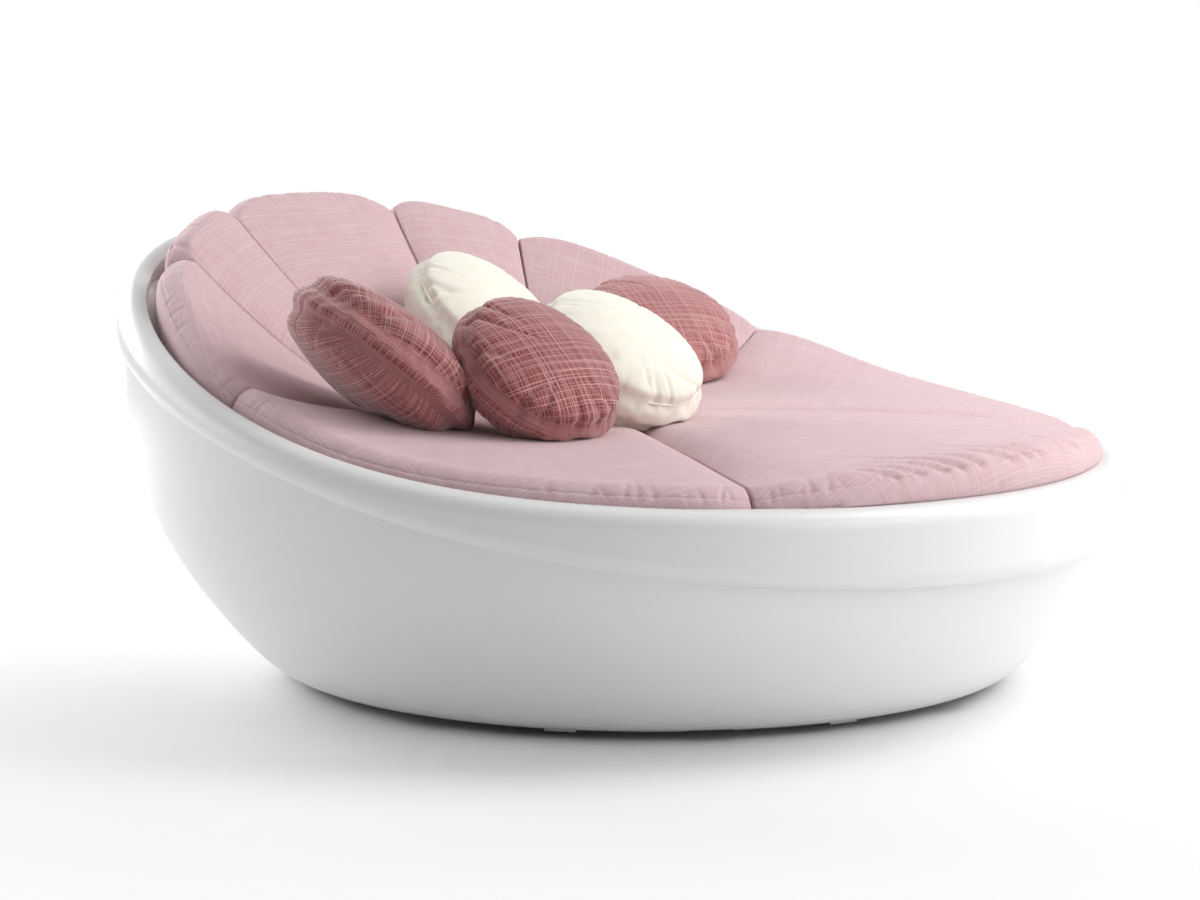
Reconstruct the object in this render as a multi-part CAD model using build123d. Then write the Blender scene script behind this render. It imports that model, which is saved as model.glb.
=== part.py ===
from build123d import *
import math
import os

# Round outdoor day bed: a leaning moulded bowl on hidden castors, a seat tub with an overhanging rim
# band hung on the bowl's edge, eight wedge pads and five loose round pillows.
#
# Millimetres, +Z up. The origin is on the floor under the middle of the bed's bounding box.
# The bed is symmetric about the plane X = 0 apart from its castors and pillows: the low front is at
# -Y and the high back at +Y.

os.makedirs("parts", exist_ok=True)

# Whole bed: each line of the side view runs level at the front, bends and then climbs to the back.
# Its values are the level height, the slope at the back, the place of the bend and its softness.
body_radius = 1030.0
floor_gap = 18.0
lip_line = (457.5, 0.423, -23.9, 296.3)
step_line = (224.5, 0.336, -575.1, 553.6)
pad_edge_line = (498.0, 0.513, 44.7, 234.6)
side_station_shares = (-1.0, -0.8, -0.6, -0.4, -0.2, 0.0, 0.2, 0.4, 0.6, 0.8, 1.0)
reach = 1250.0
fit_gap = 0.3
overrun = 5.0

# Lower bowl
bowl_wall = 8.0
bowl_top_height = 990.0
bowl_ring_shares = (
    (0.0, 0.717, -0.020),
    (0.106, 0.840, -0.003),
    (0.212, 0.908, 0.013),
    (0.318, 0.958, 0.027),
    (0.445, 0.990, 0.041),
    (0.594, 0.999, 0.054),
    (0.742, 0.995, 0.063),
    (1.0, 0.980, 0.067),
)
bowl_floor_height = 75.0
bowl_floor_thickness = 8.0
foot_notch_width = 90.0
foot_notch_height = 6.0
floor_drain_radius = 10.0
floor_drain_circle = 300.0

# Seat tub with its rim band
tub_skin = 6.0
band_half_width = 1042.0
band_half_length = 1058.0
band_centre_y = 51.0
band_top_round = 36.0
band_foot_round = 34.0
tub_inner_radius = 994.0
tub_centre_y = 46.0

# Seat surface: flat seat, then a crease and a back rising in a straight slope
seat_height = 541.0
pad_thickness = 125.0
crease_y = 530.0
crease_softness = 45.0
back_slope = 1.03
tub_back_slope = 0.92
seat_station_count = 12
dish_hold_shares = (-0.75, 0.88)

# Drain fitting in the tub's floor
drain_y = -260.0
drain_radius = 24.0
drain_slot_width = 5.0
drain_slot_pitch = 10.0
drain_slot_length = 34.0

# Pads: eight wedges that meet under the pillows
pad_radius = 986.0
pad_centre_y = 24.0
pad_apex_y = 120.0
pad_tip_radius = 32.0
pad_seam_gap = 0.8
pad_crown = 14.0
pad_seam_depth = 18.0
pad_edge_drop = 58.0
pad_edge_draw_in = 18.0
pad_seam_angles = (16.8, 37.2, 73.4, 139.6)
pad_fan_shares = (0.0, 0.14, 0.5, 0.86, 1.0)
pad_fan_crown_shares = (-1.0, 0.25, 1.0, 0.25, -1.0)
wide_fan_shares = (0.0, 0.07, 0.25, 0.5, 0.75, 0.93, 1.0)
wide_fan_crown_shares = (-1.0, 0.3, 0.8, 1.0, 0.8, 0.3, -1.0)
pad_run_shares = (0.19, 0.35, 0.50, 0.65, 0.80, 0.94)
pad_run_crown_shares = (0.4, 0.8, 1.0, 1.0, 1.0, 0.5)

# Pillows: place of the middle, the way the face looks, and the two sizes
pillow_seam_share = 0.93
pillow_boxing = 56.0
pillow_cap_angle = 20.0
pillow_shoulder_angle = 80.0
large_pillow = (218.0, 96.0)
small_pillow = (190.0, 84.0)
smallest_pillow = (181.0, 82.0)
pillows = {
    "pillow_red_left": ((-672.0, 130.0, 697.0), 55.0, 51.0, large_pillow),
    "pillow_red_centre": ((-492.0, -104.0, 669.0), -6.0, 47.0, smallest_pillow),
    "pillow_white_right": ((-159.0, -58.0, 668.0), -4.0, 54.0, small_pillow),
    "pillow_white_back": ((109.0, 516.0, 707.0), 4.0, 48.0, small_pillow),
    "pillow_rose_right": ((455.0, 283.0, 664.0), -29.0, 60.0, small_pillow),
}

# Castors under the bowl's floor
castor_count = 8
castor_first_angle = 22.5
castor_circle_radius = 660.0
castor_trails = (150.0, 200.0, 95.0, 250.0, 30.0, 290.0, 120.0, 60.0)
wheel_radius = 25.0
wheel_width = 18.0
wheel_edge_round = 4.0
wheel_groove_radius = 17.0
wheel_groove_depth = 1.5
castor_trail = 22.0
axle_radius = 3.0
axle_head_radius = 5.0
axle_head_length = 1.5
running_gap = 0.05
fork_leg = 2.5
fork_side_gap = 1.0
fork_crown_radius = 14.0
fork_crown_top = 62.0
fork_crown_thickness = 4.0
fork_boss_radius = 7.0
stem_radius = 5.0
stem_length = 8.0
swivel_boss_radius = 12.0
swivel_boss_gap = 0.4
castor_plate_size = 50.0
castor_plate_thickness = 3.0
castor_bolt_radius = 2.5
castor_bolt_head_radius = 4.5
castor_bolt_head_height = 3.0
castor_bolt_inset = 8.0
bolt_gap = 0.1

# Steel bracket that each castor hangs on, with a tab that shows below the bowl's edge
bracket_thickness = 3.0
bracket_width = 62.0
bracket_inner_radius = 612.0
bracket_outer_radius = 722.0
bracket_tab_below_edge = 8.0

# Columns that carry the tub's floor
column_count = 6
column_circle_radius = 430.0
column_circle_y = -40.0
column_radius = 32.0
column_wall = 4.0
column_flange_radius = 54.0
column_flange_thickness = 6.0
column_screw_radius = 3.0
column_screw_head_radius = 6.0
column_screw_head_height = 4.0
column_screw_circle = 43.0
column_screw_count = 3


def side_height(line, y):
    """Height at y of a line of the side view."""
    level, slope, bend_y, softness = line
    return level + slope * softness * math.log1p(math.exp((y - bend_y) / softness))


def under_side_curve(line, drop=0.0):
    """All the space below a line of the side view, which runs straight across the bed."""
    points = []
    for share in side_station_shares:
        points.append((share * reach, side_height(line, share * reach) - drop))
    frame = Polyline(points[-1], (reach, -reach), (-reach, -reach), points[0])
    side = Plane(origin=(-reach, 0.0, 0.0), x_dir=(0, 1, 0), z_dir=(1, 0, 0))
    return extrude(side * make_face(Spline(points) + frame), 2 * reach)


def upright(radius, y=0.0, x=0.0, low=0.0, high=reach):
    """Upright round column of space between two heights."""
    return Pos(x, y, low) * extrude(Circle(radius), high - low)


def spoke(angle, radius, y=0.0, z=0.0):
    """Place on a circle, with the angle counted from the back towards the right."""
    return Pos(radius * math.sin(angle), y + radius * math.cos(angle), z)


def bowl_space(shrink=0.0):
    """Leaning stack of circles inside the bowl's outer surface."""
    span = bowl_top_height - floor_gap
    rings = []
    for rise_share, radius_share, lean_share in bowl_ring_shares:
        place = Plane(origin=(0.0, lean_share * body_radius, floor_gap + rise_share * span))
        rings.append(place * Circle(radius_share * body_radius - shrink))
    return loft(rings)


def base_centre_y():
    return bowl_ring_shares[0][2] * body_radius


def band_space(inset=0.0):
    """Space inside the rim band, from the floor up to its rounded top."""
    outline = Ellipse(band_half_width - inset, band_half_length - inset)
    column = Pos(0.0, band_centre_y, 0.0) * extrude(outline, reach)
    column = column & under_side_curve(lip_line, inset)
    top_edges = [edge for edge in column.edges() if edge.bounding_box().min.Z > floor_gap]
    return fillet(top_edges, band_top_round - inset)


def back_rise(y, slope=back_slope):
    """Height that the sloping back has gained at y on the centre line."""
    return slope * crease_softness * math.log1p(math.exp((y - crease_y) / crease_softness))


def seat_dish(y):
    """How fast the seat surface climbs towards the sides at y, over the square of x.

    It brings the pads' shoulder to its line of the side view, and stays as it is near both ends.
    """
    shoulder_radius = pad_radius * pad_run_shares[-1]
    front_hold, back_hold = dish_hold_shares
    held_y = min(max(y, front_hold * shoulder_radius), back_hold * shoulder_radius)
    gain = side_height(pad_edge_line, held_y) - seat_height - back_rise(held_y)
    return gain / (shoulder_radius**2 - held_y**2)


def seat_top(x, y):
    return seat_height + back_rise(y) + seat_dish(y) * x**2


def tub_floor(x, y):
    """Height of the tub's floor, which falls away from the pads a little towards the back."""
    return seat_height - pad_thickness + back_rise(y, tub_back_slope) + seat_dish(y) * x**2


def seat_space(lift=0.0, inset=0.0):
    """Space above the tub's floor and inside its wall."""
    sections = []
    half_run = tub_inner_radius + tub_skin + overrun
    for index in range(seat_station_count):
        y = tub_centre_y + half_run * (2 * index / (seat_station_count - 1) - 1)
        middle = tub_floor(0.0, y) + lift
        side = tub_floor(reach, y) + lift
        floor_line = ThreePointArc((-reach, side), (0.0, middle), (reach, side))
        frame = Polyline((reach, side), (reach, 2 * reach), (-reach, 2 * reach), (-reach, side))
        across = Plane(origin=(0.0, y, 0.0), x_dir=(1, 0, 0), z_dir=(0, -1, 0))
        sections.append(across * make_face(floor_line + frame))
    inside = upright(tub_inner_radius - inset, tub_centre_y) & bowl_space(
        bowl_wall + fit_gap + tub_skin + inset
    )
    return loft(sections) & inside


def make_lower_bowl():
    wall = bowl_space() - bowl_space(bowl_wall)
    below_step = wall & under_side_curve(step_line)
    inside_band = wall & band_space(tub_skin + fit_gap)
    floor_top = bowl_floor_height + bowl_floor_thickness
    floor = bowl_space() & upright(reach, low=bowl_floor_height, high=floor_top)
    bowl = below_step + inside_band + floor
    for index in range(castor_count):
        angle = 2 * math.pi * index / castor_count
        notch = Box(foot_notch_width, 4 * bowl_wall, 2 * foot_notch_height)
        edge_radius = bowl_ring_shares[0][1] * body_radius
        bowl -= spoke(angle, edge_radius, base_centre_y(), floor_gap) * Rot(0, 0, -math.degrees(angle)) * notch
        drain = spoke(angle, floor_drain_circle, base_centre_y())
        bowl -= drain * upright(floor_drain_radius, low=bowl_floor_height - overrun, high=floor_top + overrun)
    for place in castor_bolt_places():
        bowl -= place * upright(
            castor_bolt_radius + bolt_gap, low=bowl_floor_height - overrun, high=floor_top + overrun
        )
    for place in column_screw_places():
        bowl -= place * upright(
            column_screw_radius + bolt_gap, low=bowl_floor_height - overrun, high=floor_top + overrun
        )
    return bowl


def band_form(inset=0.0):
    """The rim band from its rounded foot to its rounded top, or the hollow a skin inside it."""
    band = band_space(inset) - under_side_curve(step_line, -inset)
    longest = sorted(band.edges(), key=lambda edge: edge.length)[-3:]
    foot_edge = min(longest, key=lambda edge: edge.center().Z)
    return fillet([foot_edge], band_foot_round - inset)


def make_upper_tub():
    band = band_form()
    hollow = band_form(tub_skin)
    bowl_hole = bowl_space(-fit_gap) & under_side_curve(step_line, -band_foot_round)
    block = seat_space(-tub_skin, -tub_skin) & under_side_curve(lip_line)
    tub = band - hollow - bowl_hole + block - seat_space()
    drain = upright(drain_radius, drain_y, high=seat_height)
    return tub - drain


def make_drain_grate():
    skin = seat_space(-tub_skin) - seat_space()
    grate = upright(drain_radius - bolt_gap, drain_y, high=seat_height)
    for step in (-1, 0, 1):
        slot = Box(drain_slot_length, drain_slot_width, 2 * seat_height)
        grate -= Pos(0.0, drain_y + step * drain_slot_pitch, 0.0) * slot
    return grate & skin


def column_places():
    for index in range(column_count):
        yield spoke(2 * math.pi * index / column_count, column_circle_radius, column_circle_y)


def column_screw_places():
    for place in column_places():
        for index in range(column_screw_count):
            yield place * spoke(2 * math.pi * index / column_screw_count, column_screw_circle)


def make_columns():
    foot = bowl_floor_height + bowl_floor_thickness
    above_floor_skin = seat_space(-tub_skin - fit_gap)
    columns = []
    for place in column_places():
        tube = upright(column_radius, low=foot, high=seat_height)
        tube += upright(column_flange_radius, low=foot, high=foot + column_flange_thickness)
        tube -= upright(column_radius - column_wall, low=foot - overrun, high=seat_height + overrun)
        for index in range(column_screw_count):
            screw = spoke(2 * math.pi * index / column_screw_count, column_screw_circle)
            tube -= screw * upright(
                column_screw_radius + bolt_gap,
                low=foot - overrun,
                high=foot + column_flange_thickness + overrun,
            )
        columns.append((place * tube) - above_floor_skin)
    return columns


def make_column_screws():
    head_low = bowl_floor_height + bowl_floor_thickness + column_flange_thickness
    head_high = head_low + column_screw_head_height
    screw = upright(column_screw_head_radius, low=head_low, high=head_high)
    screw += upright(column_screw_radius, low=bowl_floor_height, high=head_low)
    return [place * screw for place in column_screw_places()]


def castor_angle(index):
    return math.radians(castor_first_angle) + 2 * math.pi * index / castor_count


def castor_place(index):
    return spoke(castor_angle(index), castor_circle_radius, base_centre_y())


def castor_turn(index):
    """Outward-facing turn of a castor's plate and bracket."""
    return Rot(0, 0, -math.degrees(castor_angle(index)))


def castor_bolt_places():
    half = castor_plate_size / 2 - castor_bolt_inset
    for index in range(castor_count):
        for x in (-half, half):
            for y in (-half, half):
                yield castor_place(index) * castor_turn(index) * Pos(x, y, 0.0)


def castor_plate_top():
    return bowl_floor_height - bracket_thickness


def castor_plate_low():
    return castor_plate_top() - castor_plate_thickness


def bolt_holes(low, high):
    """Four bolt holes round a castor's swivel."""
    half = castor_plate_size / 2 - castor_bolt_inset
    holes = []
    for x in (-half, half):
        for y in (-half, half):
            holes.append(upright(castor_bolt_radius + bolt_gap, y, x, low - overrun, high + overrun))
    return holes


def make_castor_plates():
    boss_low = fork_crown_top + swivel_boss_gap
    top = castor_plate_top()
    plate = Pos(0.0, 0.0, castor_plate_low()) * extrude(
        RectangleRounded(castor_plate_size, castor_plate_size, castor_bolt_inset / 2),
        castor_plate_thickness,
    )
    plate += upright(swivel_boss_radius, low=boss_low, high=castor_plate_low())
    plate -= upright(stem_radius + running_gap, low=boss_low - overrun, high=top + overrun)
    for hole in bolt_holes(castor_plate_low(), top):
        plate -= hole
    return [castor_place(index) * castor_turn(index) * plate for index in range(castor_count)]


def make_castor_brackets():
    """Angle plates under the bowl's floor; the upright leg ends in the tab below the edge."""
    low = castor_plate_top()
    tab_low = floor_gap - bracket_tab_below_edge
    depth = bracket_outer_radius - bracket_inner_radius
    middle = (bracket_outer_radius + bracket_inner_radius) / 2 - castor_circle_radius
    plate = Pos(0.0, middle, low + bracket_thickness / 2) * Box(bracket_width, depth, bracket_thickness)
    leg_y = bracket_outer_radius - castor_circle_radius - bracket_thickness / 2
    leg_height = bowl_floor_height - tab_low
    plate += Pos(0.0, leg_y, tab_low + leg_height / 2) * Box(bracket_width, bracket_thickness, leg_height)
    for hole in bolt_holes(low, bowl_floor_height):
        plate -= hole
    return [castor_place(index) * castor_turn(index) * plate for index in range(castor_count)]


def make_castor_bolts():
    head_high = castor_plate_low()
    head_low = head_high - castor_bolt_head_height
    bolt = upright(castor_bolt_head_radius, low=head_low, high=head_high)
    bolt += upright(castor_bolt_radius, low=head_high, high=bowl_floor_height + bowl_floor_thickness)
    return [place * bolt for place in castor_bolt_places()]


def make_wheel():
    """Castor wheel about the X axis, with its middle at the origin."""
    tread = Rot(0, 90, 0) * Cylinder(wheel_radius, wheel_width)
    rims = [edge for edge in tread.edges() if edge.length > math.pi * wheel_radius]
    tread = fillet(rims, wheel_edge_round)
    for side in (-1, 1):
        face_x = side * (wheel_width / 2 - wheel_groove_depth / 2)
        dish = Cylinder(wheel_groove_radius, wheel_groove_depth) - Cylinder(
            axle_head_radius + wheel_groove_depth, wheel_groove_depth
        )
        tread -= Pos(face_x, 0.0, 0.0) * Rot(0, 90, 0) * dish
    return tread - Rot(0, 90, 0) * Cylinder(axle_radius + running_gap, wheel_width + overrun)


def make_axle():
    leg_face = wheel_width / 2 + fork_side_gap + fork_leg
    axle = Rot(0, 90, 0) * Cylinder(axle_radius, 2 * leg_face)
    for side in (-1, 1):
        head = Rot(0, 90, 0) * Cylinder(axle_head_radius, axle_head_length)
        axle += Pos(side * (leg_face + axle_head_length / 2), 0.0, 0.0) * head
    return axle


def make_fork():
    """Swivel fork about the Z axis, with its axle behind the swivel at -Y."""
    crown_low = fork_crown_top - fork_crown_thickness
    fork = upright(fork_crown_radius, low=crown_low, high=fork_crown_top)
    fork += upright(stem_radius, low=crown_low, high=fork_crown_top + stem_length)
    inner = wheel_width / 2 + fork_side_gap
    width = 2 * (inner + fork_leg)
    bridge_depth = fork_crown_radius + castor_trail / 2
    bridge_y = fork_crown_radius / 2 - bridge_depth / 2
    bridge_z = crown_low + fork_crown_thickness / 2
    fork += Pos(0.0, bridge_y, bridge_z) * Box(width, bridge_depth, fork_crown_thickness)
    boss = Pos(-castor_trail, wheel_radius) * Circle(fork_boss_radius)
    bridge_side = Pos(bridge_y, bridge_z) * Rectangle(bridge_depth, fork_crown_thickness)
    leg_side = make_hull(boss.edges() + bridge_side.edges())
    for side in (-1, 1):
        leg = extrude(Plane.YZ * leg_side, fork_leg)
        start = inner if side > 0 else -inner - fork_leg
        fork += Pos(start, 0.0, 0.0) * leg
    bore = Rot(0, 90, 0) * Cylinder(axle_radius + running_gap, 2 * width)
    return fork - Pos(0.0, -castor_trail, wheel_radius) * bore


def castor_parts(index):
    """Fork, wheel and axle of one castor, turned to the way it happens to point."""
    turn = castor_place(index) * Rot(0, 0, castor_trails[index])
    axle_place = turn * Pos(0.0, -castor_trail, wheel_radius)
    return turn * make_fork(), axle_place * make_wheel(), axle_place * make_axle()


def edge_distance(apex_y, angle, radius):
    """Distance from a wedge's apex to the pads' outline, along an angle from the back."""
    offset = apex_y - pad_centre_y
    along = -offset * math.cos(angle)
    return along + math.sqrt(radius**2 - (offset * math.sin(angle)) ** 2)


def bow(start, middle, end):
    """Arc through three points, or a straight line where they lie in one."""
    turn = (middle[0] - start[0]) * (end[1] - start[1]) - (middle[1] - start[1]) * (end[0] - start[0])
    span = math.dist(start, end)
    if abs(turn) < span**2 * 1e-4:
        return Line(start, end)
    return ThreePointArc(start, middle, end)


def pad_section(apex, angle, crown_share):
    """One upright radial section of a wedge pad, from its tip to its rolled outer edge."""
    drawn = max(0.0, -crown_share) * pad_edge_draw_in
    outer = edge_distance(apex.Y, angle, pad_radius - drawn)
    crown = crown_share * (pad_crown if crown_share > 0 else pad_seam_depth)
    across = math.sin(angle)
    along = math.cos(angle)

    def point(share, crown_part):
        run = share * outer
        height = seat_top(apex.X + run * across, apex.Y + run * along)
        return run, height + crown * crown_part

    points = [point(pad_tip_radius / outer, pad_run_crown_shares[0])]
    for share, crown_part in zip(pad_run_shares, pad_run_crown_shares):
        points.append(point(share, crown_part))
    shoulder = points[-1]
    side = (outer, shoulder[1] - pad_edge_drop)
    roll = (
        shoulder[0] + (outer - shoulder[0]) * 0.75,
        shoulder[1] - pad_edge_drop * 0.3,
    )
    low = seat_height - 2 * pad_thickness
    outline = bow(*points[0:3]) + bow(*points[2:5]) + bow(*points[4:7]) + bow(shoulder, roll, side)
    outline += Polyline(side, (outer, low), (points[0][0], low), points[0])
    radial = Plane(origin=(apex.X, apex.Y, 0.0), x_dir=(across, along, 0), z_dir=(along, -across, 0))
    return radial * make_face(outline)


def pad_form(first, last, shares, crown_shares):
    """Puffed wedge between two seams, whose angles are counted from the back."""
    seam_ends = []
    for seam in (first, last):
        x = pad_radius * math.sin(math.radians(seam))
        y = pad_centre_y + pad_radius * math.cos(math.radians(seam))
        seam_ends.append(math.atan2(x, y - pad_apex_y) % (2 * math.pi))
    if seam_ends[0] > seam_ends[1]:
        seam_ends[0] -= 2 * math.pi
    half = (seam_ends[1] - seam_ends[0]) / 2
    middle = (seam_ends[1] + seam_ends[0]) / 2
    back_off = pad_seam_gap / 2 / math.sin(half)
    apex = Vector(back_off * math.sin(middle), pad_apex_y + back_off * math.cos(middle), 0.0)
    sections = []
    for share, crown_share in zip(shares, crown_shares):
        sections.append(pad_section(apex, middle + (2 * share - 1) * half, crown_share))
    return loft(sections)


def make_pads():
    inner, shoulder, side, front = pad_seam_angles
    solid_tub = under_side_curve(lip_line, -fit_gap) - seat_space(fit_gap, fit_gap)
    pads = {}
    centre = pad_form(-inner, inner, pad_fan_shares, pad_fan_crown_shares)
    pads["pad_back"] = centre - solid_tub
    wide = pad_form(front, 360.0 - front, wide_fan_shares, wide_fan_crown_shares)
    pads["pad_front"] = wide - solid_tub
    pairs = (
        ("pad_back", inner, shoulder, pad_fan_shares, pad_fan_crown_shares),
        ("pad_shoulder", shoulder, side, pad_fan_shares, pad_fan_crown_shares),
        ("pad_side", side, front, wide_fan_shares, wide_fan_crown_shares),
    )
    for name, first, last, shares, crown_shares in pairs:
        pad = pad_form(first, last, shares, crown_shares) - solid_tub
        pads[name + "_right"] = pad
        pads[name + "_left"] = mirror(pad, Plane.YZ)
    return pads


def pillow_form(size, grow=0.0):
    """Round pillow with a boxed edge, lying flat about the origin.

    Each face is a shallow cap that turns through a tighter shoulder down to the edge seam.
    """
    radius, half_height = size
    radius += grow
    half_height += grow
    seam = radius * pillow_seam_share
    box = pillow_boxing / 2 + grow
    cap_sine = math.sin(math.radians(pillow_cap_angle))
    cap_cosine = math.cos(math.radians(pillow_cap_angle))
    shoulder_sine = math.sin(math.radians(pillow_shoulder_angle)) - cap_sine
    shoulder_cosine = cap_cosine - math.cos(math.radians(pillow_shoulder_angle))
    fall = half_height - box
    scale = cap_sine * shoulder_cosine - shoulder_sine * (1 - cap_cosine)
    cap_radius = (seam * shoulder_cosine - fall * shoulder_sine) / scale
    join = (cap_radius * cap_sine, half_height - cap_radius * (1 - cap_cosine))
    cap = RadiusArc((0.0, half_height), join, cap_radius)
    shoulder = RadiusArc(join, (seam, box), (seam - join[0]) / shoulder_sine)
    edge = ThreePointArc((seam, box), (radius, 0.0), (seam, -box))
    upper = cap + shoulder
    outline = upper + mirror(upper, Plane.XZ) + edge + Line((0.0, half_height), (0.0, -half_height))
    return revolve(Plane.XZ * make_face(outline), Axis.Z)


def pillow_place(centre, azimuth, elevation):
    turn = math.radians(azimuth)
    lift = math.radians(elevation)
    facing = (math.sin(turn) * math.cos(lift), -math.cos(turn) * math.cos(lift), math.sin(lift))
    return Plane(origin=centre, z_dir=facing).location


def make_pillows(pads):
    made = {}
    lifted_pads = [Pos(0.0, 0.0, fit_gap) * pad for pad in pads.values()]
    grown = []
    for name, (centre, azimuth, elevation, size) in pillows.items():
        place = pillow_place(centre, azimuth, elevation)
        body = place * pillow_form(size)
        for pad in lifted_pads:
            body -= pad
        for neighbour in grown:
            body -= neighbour
        grown.append(place * pillow_form(size, fit_gap))
        made[name] = body
    return made


def save(name, *pieces):
    """Write one node, moved so that the middle of the rim band stands over the origin."""
    to_origin = Pos(0.0, -band_centre_y, 0.0)
    moved = [to_origin * piece for piece in pieces]
    node = moved[0] if len(moved) == 1 else Compound(children=moved)
    export_step(node, "parts/" + name + ".step")


def main():
    save("lower_bowl", make_lower_bowl())
    save("upper_tub", make_upper_tub())
    save("drain_grate", make_drain_grate())
    for index, column in enumerate(make_columns()):
        save("support_column_" + str(index + 1), column)
    save("column_screws", *make_column_screws())
    save("castor_plates", *make_castor_plates())
    save("castor_brackets", *make_castor_brackets())
    save("castor_bolts", *make_castor_bolts())
    for index in range(castor_count):
        fork, wheel, axle = castor_parts(index)
        save("castor_fork_" + str(index + 1), fork)
        save("castor_wheel_" + str(index + 1), wheel)
        save("castor_axle_" + str(index + 1), axle)
    pads = make_pads()
    for name, pad in pads.items():
        save(name, pad)
    for name, pillow in make_pillows(pads).items():
        save(name, pillow)


main()
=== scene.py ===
"""Looks of the round day bed: moulded shell, woven wedge pads, boxed round pillows and castors.

Laid out as an add-on and run as a script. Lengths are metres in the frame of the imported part.
"""
import math

import bpy
import numpy as np
from bpy.props import FloatProperty, FloatVectorProperty, PointerProperty, StringProperty
from bpy.types import Operator, Panel, PropertyGroup
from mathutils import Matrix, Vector
from mathutils.bvhtree import BVHTree


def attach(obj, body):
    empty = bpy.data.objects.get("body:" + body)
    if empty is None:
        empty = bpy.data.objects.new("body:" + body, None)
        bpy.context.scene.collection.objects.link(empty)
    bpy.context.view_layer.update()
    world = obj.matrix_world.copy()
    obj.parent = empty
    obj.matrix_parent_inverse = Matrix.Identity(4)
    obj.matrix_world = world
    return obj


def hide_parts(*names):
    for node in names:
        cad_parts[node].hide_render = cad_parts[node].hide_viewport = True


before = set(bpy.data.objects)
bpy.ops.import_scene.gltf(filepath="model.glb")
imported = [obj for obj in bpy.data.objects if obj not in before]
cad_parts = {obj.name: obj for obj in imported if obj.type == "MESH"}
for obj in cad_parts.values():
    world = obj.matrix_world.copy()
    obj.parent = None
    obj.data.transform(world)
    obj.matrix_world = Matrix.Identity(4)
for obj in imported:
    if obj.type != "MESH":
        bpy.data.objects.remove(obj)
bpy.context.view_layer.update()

bl_info = {
    "name": "Round Day Bed",
    "version": (1, 0, 0),
    "blender": (4, 5, 0),
    "location": "3D View > Sidebar > Day Bed",
    "description": "Builds the looks of a round outdoor day bed around its packed model",
    "category": "Object",
}

PAD_NODES = (
    "pad_back",
    "pad_back_right",
    "pad_back_left",
    "pad_shoulder_right",
    "pad_shoulder_left",
    "pad_side_right",
    "pad_side_left",
    "pad_front",
)
# Middle of each pillow, the way its face looks, its radius, its half thickness and its fabric
PILLOWS = {
    "pillow_red_left": ((-0.672, 0.079, 0.697), 55.0, 51.0, 0.218, 0.096, "red"),
    "pillow_red_centre": ((-0.492, -0.155, 0.669), -6.0, 47.0, 0.181, 0.082, "red"),
    "pillow_white_right": ((-0.159, -0.109, 0.668), -4.0, 54.0, 0.190, 0.084, "white"),
    "pillow_white_back": ((0.109, 0.465, 0.707), 4.0, 48.0, 0.190, 0.084, "white"),
    "pillow_rose_right": ((0.455, 0.232, 0.664), -29.0, 60.0, 0.190, 0.084, "rose"),
}

# Softboxes: place, width and power in watts. All of them point at the middle of the bed.
LIT_POINT = (0.0, 0.0, 0.45)
SOFTBOXES = {
    "above": ((0.0, 0.0, 4.2), 4.0, 34.0),
    "right": ((2.5, -3.4, 1.8), 2.5, 33.0),
    "right_back": ((4.3, -0.8, 2.0), 2.5, 36.0),
    "right_front": ((-0.5, -4.4, 2.0), 2.5, 52.0),
    "right_high": ((1.8, -2.4, 3.6), 2.5, 100.0),
    "left": ((-2.5, 3.4, 1.8), 2.5, 54.0),
    "left_back": ((0.5, 4.4, 2.0), 2.5, 150.0),
}
# Distance over which a crease dies out on the far side of its seam
CREASE_END = 0.009
# Least and greatest slant, length, half width and strength of a gather, and the steps between gathers
GATHER_LIMITS = ((-0.4, 0.015, 0.004, 0.0), (0.4, 0.060, 0.008, 1.0))
GATHER_STEPS = (0.6, 1.5)
# Pulls in the covers that stand out from the gathers: the turn in degrees at which each leaves its seam,
# its slant, its length, its half width and its depth. A pad's turn is measured from the pad's middle.
PAD_PULLS = {
    "pad_front": (
        (21.4, 1.5, 0.05, 0.006, 0.006),
        (18.3, 1.7, 0.05, 0.006, 0.006),
        (15.2, 1.7, 0.06, 0.006, 0.008),
        (12.7, 1.3, 0.10, 0.007, 0.010),
        (9.9, 1.2, 0.07, 0.006, 0.008),
        (5.0, 1.7, 0.07, 0.006, 0.008),
        (1.7, 1.4, 0.09, 0.007, 0.010),
        (-0.5, 1.5, 0.06, 0.006, 0.007),
        (-10.5, 2.0, 0.07, 0.006, 0.008),
        (-14.0, 0.4, 0.08, 0.010, 0.004),
        (-21.8, 0.2, 0.04, 0.007, 0.004),
    ),
    "pad_back": (
        (-16.3, 1.1, 0.05, 0.007, 0.005),
        (-11.6, 1.0, 0.05, 0.007, 0.005),
        (-6.6, 1.1, 0.06, 0.008, 0.006),
        (0.9, 0.5, 0.05, 0.006, 0.004),
    ),
    "pad_back_left": (
        (-11.1, -0.6, 0.04, 0.007, 0.005),
        (-8.0, -0.8, 0.05, 0.007, 0.005),
        (-5.0, 0.8, 0.04, 0.006, 0.004),
    ),
}
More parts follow.
